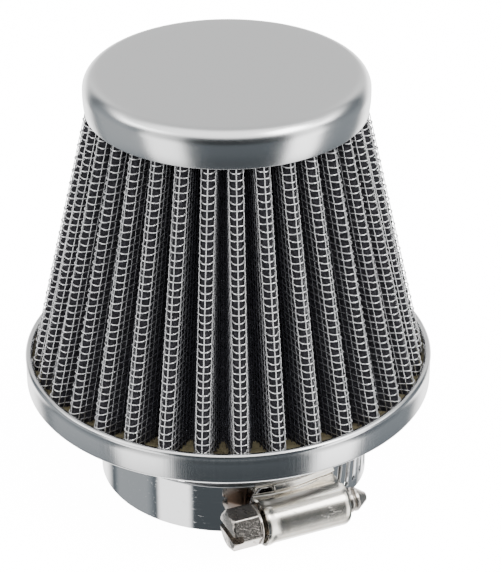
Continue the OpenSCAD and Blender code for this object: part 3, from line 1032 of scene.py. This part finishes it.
plain_heights = np.array([strap_low, strap_mid, strap_high])
fixed_side = strap_sheet("strap_fixed", np.linspace(-100, 12.0, 113), plain_heights,
                         lambda a: layer_1 + 0 * a)
placed(eased(fixed_side, 0.14), "clamp", "strap_steel", "clamp_band")
back_side = strap_sheet("strap_back", np.linspace(100, 260, 161), plain_heights, tail_radius)
eased(back_side, 0.14)
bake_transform(back_side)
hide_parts("clamp_band", "clamp_band_end")

# %% [markdown]
# ### Slotted tail
# The worm pulls on slots that are punched through the strap, leaning by the worm's own pitch. The tail's
# grid has its columns at the slots' edges, counted in millimetres along the strap's path so that they
# stay one pitch apart where it bulges, and the slots' cells are left out.

# %% Slotted tail
slot_half_width, slot_half_length, slot_pitch = 0.55, 2.65, 2.5
lean_angle = math.radians(7)
turn_per_mm = 180 / math.pi / 23.3
tail_tip = 9.2
path_step = np.arange(tail_tip, 110, 0.05)
path_mid = np.concatenate([[0], np.cumsum(np.hypot(np.diff(tail_radius(path_step)),
                                                   np.radians(0.05) * tail_radius(path_step[:-1])))])
start_length = np.interp(clamp_at, path_step, path_mid)
slot_lengths = start_length + slot_pitch * np.arange(-2, 20)
slot_centres = np.interp(slot_lengths, path_mid, path_step)
slot_centres = slot_centres[(slot_centres > 11) & (slot_centres < 99)]
half_turn = slot_half_width * turn_per_mm
tail_cuts = np.concatenate([slot_centres - half_turn, slot_centres + half_turn,
                            (slot_centres[1:] + slot_centres[:-1]) / 2, [tail_tip, 99.0, 100.0]])
tail_turns = np.sort(tail_cuts)
tail_heights = np.array([
    strap_low, strap_low + 0.7, strap_mid - slot_half_length, strap_mid - 1.3, strap_mid,
    strap_mid + 1.3, strap_mid + slot_half_length, strap_high - 0.7, strap_high])
cell_middles = (tail_turns[1:] + tail_turns[:-1]) / 2
in_slot = np.array([np.min(np.abs(slot_centres - m)) < half_turn for m in cell_middles])
slot_rows = np.array([strap_mid - slot_half_length - 0.01 < h < strap_mid + slot_half_length - 0.01
                      for h in tail_heights[:-1]])
solid = ~(in_slot[:, None] & slot_rows)
tail_side = strap_sheet("strap_tail", tail_turns, tail_heights, tail_radius, solid,
                        lean=math.tan(lean_angle) * turn_per_mm, tip=4.0)
placed(eased(tail_side, 0.08), "band_end", "strap_steel", "clamp_band_end")
print("slots:", len(slot_centres))

# %% [markdown]
# ## Clamp housing
# A saddle plate runs under the strap with its sides folded up round both edges. The housing is a second
# plate laid over the strap, then drawn up into a tunnel round the screw. The tunnel is lofted along the
# screw, because its feet stand on a curved plate while its arch is straight.


# %% Helpers in the clamp's own directions
def on_clamp(points):
    """From the clamp's own frame, with the screw along +X at the front, to its place round the neck."""
    turn_by = math.radians(clamp_at)
    points = np.asarray(points, float)
    x, y = points[..., 0], points[..., 1]
    return np.stack([x * math.cos(turn_by) - y * math.sin(turn_by),
                     x * math.sin(turn_by) + y * math.cos(turn_by), points[..., 2]], -1)


screw_rho = 26.2


def round_screw(along, radius, angle):
    """A point round the screw: angle 0 points away from the neck, 90 degrees points up."""
    along, radius, angle = np.broadcast_arrays(along, radius, np.radians(angle))
    outward, upward = -screw_rho - radius * np.cos(angle), strap_mid + radius * np.sin(angle)
    return on_clamp(np.stack([along, outward, upward], -1))


def turned_on_screw(name, section, finish, steps=72):
    """A closed section of (along the screw, radius) rows turned round the screw."""
    angles = np.arange(steps) * 360.0 / steps
    rings = round_screw(section[None, :, 0], section[None, :, 1], angles[:, None])
    size = len(section)
    faces = [(a * size + p, ((a + 1) % steps) * size + p, ((a + 1) % steps) * size + (p + 1) % size,
              a * size + (p + 1) % size) for a in range(steps) for p in range(size)]
    return new_piece(name, rings.reshape(-1, 3), faces, finish)


def closed_rod(name, rings, finish, crease=40.0):
    """A rod from rings of points, one after another, closed at both ends."""
    stations, count = rings.shape[:2]
    faces = [(a * count + b, (a + 1) * count + b, (a + 1) * count + (b + 1) % count,
              a * count + (b + 1) % count) for a in range(stations - 1) for b in range(count)]
    faces += [tuple(range(count)), tuple((stations - 1) * count + b for b in range(count))]
    return new_piece(name, rings.reshape(-1, 3), faces, finish, crease)


print("clamp helpers ready: the clamp stands at azimuth", clamp_at)

# %% Saddle
saddle_from, saddle_to = clamp_at - 11.8, clamp_at + 25.5
saddle_in, saddle_out, side_t = 21.86, 23.24, 0.45
saddle_section = rounded([
    (saddle_in, 0.0, 0.35), (saddle_out, 0.0, 0.12), (saddle_out, side_t, 0.12), (layer_1, side_t, 0.1),
    (layer_1, 10 - side_t, 0.1), (saddle_out, 10 - side_t, 0.12), (saddle_out, 10.0, 0.12),
    (saddle_in, 10.0, 0.35)], steps=4)
placed(turned("clamp_saddle_plate", saddle_section, housing_steel, steps=40, first=saddle_from,
              last=saddle_to), "clamp", "housing_steel", "clamp_saddle")

# %% [markdown]
# ### Cover plate
# The plate over the strap is stiffened by a shallow rib along each edge, and its mouth is opened a little
# toward the strap's bulge, so that the strap runs in freely when the clamp is tightened.

# %% Cover plate
cover_in, cover_out = 23.27, 23.86
cover_at = np.linspace(clamp_at - 4.4, saddle_to - 1.6, 41)
cover_up = np.array([0.03, 0.3, 0.55, 0.8, 1.05, 1.3, 1.6, 2.1, 5.0, 7.9, 8.4, 8.7, 8.95, 9.2, 9.45, 9.7,
                     9.97])
mouth_open, rib_high, rib_half_width, rib_from_middle = 0.46, 0.34, 0.42, 4.05
mouth = mouth_open * np.clip((cover_at - clamp_at - 13.5) / 10.4, 0, 1)[:, None] ** 1.2
off_rib = (np.abs(cover_up - strap_mid) - rib_from_middle) / rib_half_width
rib = rib_high * np.exp(-off_rib ** 2)[None, :]
cover_faces = [around(r + mouth + rib, cover_at[:, None], cover_up[None, :]) for r in (cover_out, cover_in)]
cover = sheet_grid("clamp_cover_plate", *cover_faces, housing_steel)
placed(eased(cover, 0.22, segments=3), "clamp", "housing_steel", "clamp_housing")

# %% [markdown]
# ### Tunnel
# Each station along the screw has the same kind of section: a foot on the cover plate, a short leg, an arch
# of most of a circle, and the same again. The mouth at the screw's head flares out, and the far end draws
# in a little. Two washers close the ends round the screw.

# %% Tunnel
tunnel_r, tunnel_t = 3.82, 0.45
leg_half = 3.3
tunnel_along = np.concatenate([[-5.5, -5.35, -5.1, -4.8, -4.5, -4.2, -3.8], np.linspace(-3.0, 8.6, 14),
                               [9.1, 9.4, 9.65, 9.8]])
flare = (0.22 * np.sin(np.clip((-4.0 - tunnel_along) / 1.5, 0, 1) * 2.2)
         - 0.30 * np.clip((tunnel_along - 9.1) / 0.7, 0, 1) ** 1.6)
foot_y = np.sqrt(cover_out ** 2 - tunnel_along ** 2)


def arch(offset):
    """The housing's section at each station: foot, leg, arch, leg, foot, moved inward by offset."""
    out = []
    for station, y_foot, swell in zip(tunnel_along, foot_y, flare):
        radius = tunnel_r + swell - offset
        open_angle = math.degrees(math.asin(min(0.97, (leg_half - offset) / radius)))
        arc = [(screw_rho + radius * math.cos(a), radius * math.sin(a))
               for a in np.radians(np.linspace(180 - open_angle, -(180 - open_angle), 33))]
        fillet, foot = 0.55 - offset, y_foot - 0.06 - offset * 0.3
        leg_up = arc[0][1]
        curve = [(foot + fillet - fillet * math.sin(a), leg_up + fillet - fillet * math.cos(a))
                 for a in np.radians(np.linspace(90, 0, 5))]
        side = [(y, u) for y, u in curve if y < arc[0][0]]
        points = side + arc + [(y, -u) for y, u in reversed(side)]
        while len(points) < 43:
            points.insert(0, points[0])
            points.append(points[-1])
        out.append([(station, -y, strap_mid + u) for y, u in points[:43]])
    return on_clamp(np.array(out))


tunnel = sheet_grid("clamp_tunnel", arch(0.0), arch(tunnel_t), housing_steel)
placed(eased(tunnel, 0.13), "clamp", "housing_steel", "clamp_housing")

# %% Tunnel end walls
wall_r = 3.27
for name, low, high, hole in (("tunnel_wall_head", -4.55, -4.1, 2.5), ("tunnel_wall_tip", 8.9, 9.35, 1.7)):
    washer = rounded([(low, hole, 0.08), (high, hole, 0.08), (high, wall_r, 0.05), (low, wall_r, 0.05)],
                     steps=2)
    wall = turned_on_screw(name, washer, housing_steel, steps=48)
    placed(wall, "clamp", "housing_steel", "clamp_housing")

# %% [markdown]
# ## Clamp screw
# A hex head with a driver slot and chamfered corners, a flange that bears on the housing, a worm that
# engages the strap's slots, and a riveted cone at the far end that keeps the screw in.

# %% Screw shank, flange and tip
flange_section = rounded([
    (-6.62, 0.0, 0), (-6.62, 3.5, 0.16), (-6.1, 3.5, 0.16), (-6.1, 2.4, 0.1), (-3.5, 2.4, 0),
    (-3.5, 0.0, 0)], steps=4)
screw_flange = turned_on_screw("screw_flange", flange_section, screw_steel)
placed(screw_flange, "screw", "screw_steel", "clamp_screw")
tip_section = rounded([
    (8.1, 0.0, 0), (8.1, 1.6, 0), (10.2, 1.6, 0.15), (10.3, 2.15, 0.25), (11.1, 2.2, 0.3),
    (11.3, 1.75, 0.1), (11.6, 2.1, 0.25), (12.1, 2.1, 0.3), (14.0, 0.75, 0.4), (14.25, 0.0, 0)], steps=4)
screw_tip = turned_on_screw("screw_tip", tip_section, screw_steel, steps=56)
placed(screw_tip, "screw", "screw_steel", "clamp_screw")

# %% [markdown]
# ### Worm
# The thread has a pitch of one slot. It could be swept as a coil, but a rod whose radius depends on the
# angle and the distance along it gives the same flanks in one closed mesh.

# %% Worm
root_r, crest_r = 2.5, 3.15
worm_along = np.linspace(-3.6, 8.2, 142)
worm_turn = np.arange(0, 360, 7.5)
phase = (worm_turn[None, :] / 360 + worm_along[:, None] / slot_pitch) % 1.0
off_crest = np.abs(phase - 0.5) * slot_pitch
worm_radius = np.clip(crest_r - 0.65 * (off_crest - 0.3) / 0.45, root_r, crest_r)
worm_radius[0] = worm_radius[-1] = 1.5
worm_rings = round_screw(worm_along[:, None], worm_radius, worm_turn[None, :])
placed(closed_rod("screw_worm", worm_rings, screw_steel), "screw", "screw_steel", "clamp_screw")

# %% [markdown]
# ### Hex head
# A hexagon with slightly soft corners comes from a smooth maximum of its six faces' directions. A cone cut
# from the end gives the chamfer, and a boolean cuts the driver slot much as a saw cuts the real one.

# %% Hex head
across_flats = 6.35
hex_half = across_flats / 2
hex_normals = np.radians(np.arange(6) * 60 + 27)
hex_turn = np.arange(0, 360, 2.5)
facing = np.cos(np.radians(hex_turn)[:, None] - hex_normals[None, :])
softness = 60.0
hex_r = hex_half / (np.log(np.exp(softness * facing).sum(1)) / softness)
head_along = np.array([-11.5, -11.45, -11.32, -11.1, -10.9, -10.6, -10.2, -9.6, -8.6, -7.6, -7.0, -6.75,
                       -6.6])
from_end = head_along + 11.5
cone = 2.93 + 1.2 * from_end - 0.10 * np.exp(-from_end / 0.06)
hex_radii = np.minimum(hex_r[None, :], cone[:, None])
head_rings = round_screw(head_along[:, None], hex_radii, hex_turn[None, :])
head = closed_rod("screw_head", head_rings, screw_steel, crease=32.0)
print("hex across flats:", across_flats)

# %% Driver slot
slot_half, slot_bottom = 0.7, -9.9
cutter_points = [(x, -screw_rho + y, strap_mid + z)
                 for x in (-12.5, slot_bottom) for y in (-5, 5) for z in (-slot_half, slot_half)]
cutter_faces = [(0, 1, 3, 2), (4, 5, 7, 6), (0, 1, 5, 4), (2, 3, 7, 6), (0, 2, 6, 4), (1, 3, 7, 5)]
cutter = new_piece("driver_slot", on_clamp(np.array(cutter_points)), cutter_faces, screw_steel)
cut = head.modifiers.new("driver slot", "BOOLEAN")
cut.object = cutter
cut.solver = "EXACT"
applied(head)
bpy.data.objects.remove(cutter)
head.data.set_sharp_from_angle(angle=math.radians(32))
placed(head, "screw", "screw_steel", "clamp_screw")
